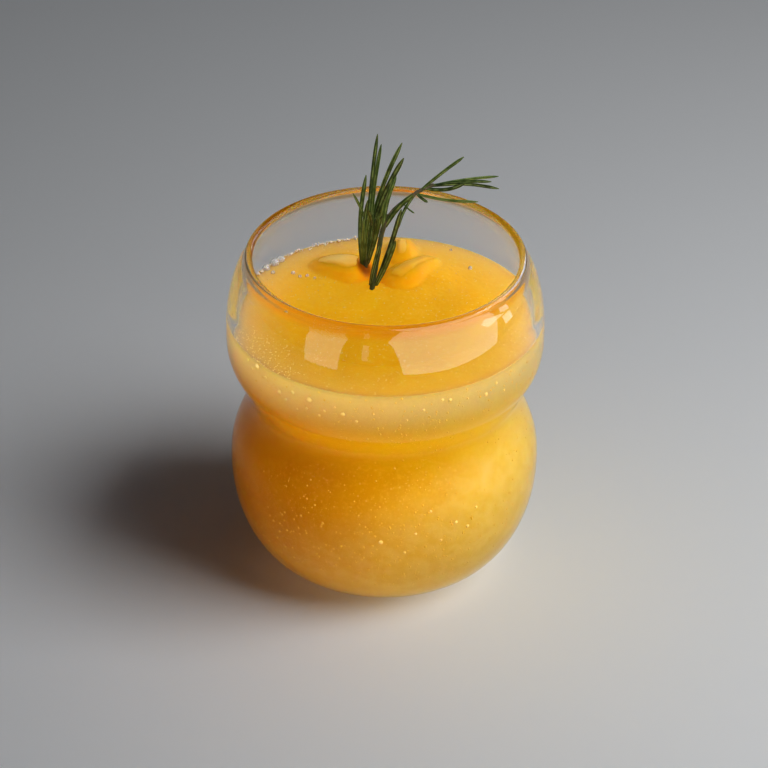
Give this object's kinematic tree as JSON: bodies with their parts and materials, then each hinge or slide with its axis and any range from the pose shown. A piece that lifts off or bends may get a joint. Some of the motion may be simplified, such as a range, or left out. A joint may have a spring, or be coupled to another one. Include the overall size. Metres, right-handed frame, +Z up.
{
  "type": "mango slushy",
  "caption": "Clear glass with two rounded bulges, filled with frozen mango slush, with soft mango pieces and a rosemary sprig set in the top.",
  "frame": {"origin": "middle of the flat underside of the glass, on the table", "axes": "+Z up along the glass's axis, +X to the right as the drink is seen in the picture, and the front faces -Y"},
  "size_m": [0.0856, 0.0856, 0.118],
  "materials": {
    "glass": "clear and polished",
    "slush": "wet, milky frozen slush",
    "mango": "wet, soft fruit flesh",
    "rosemary": "satin leaf"
  },
  "bodies": {
    "root": {"glass": "glass", "slush": "slush", "mango_left": "mango", "mango_right": "mango", "mango_back": "mango", "rosemary": "rosemary"}
  },
  "joints": []
}
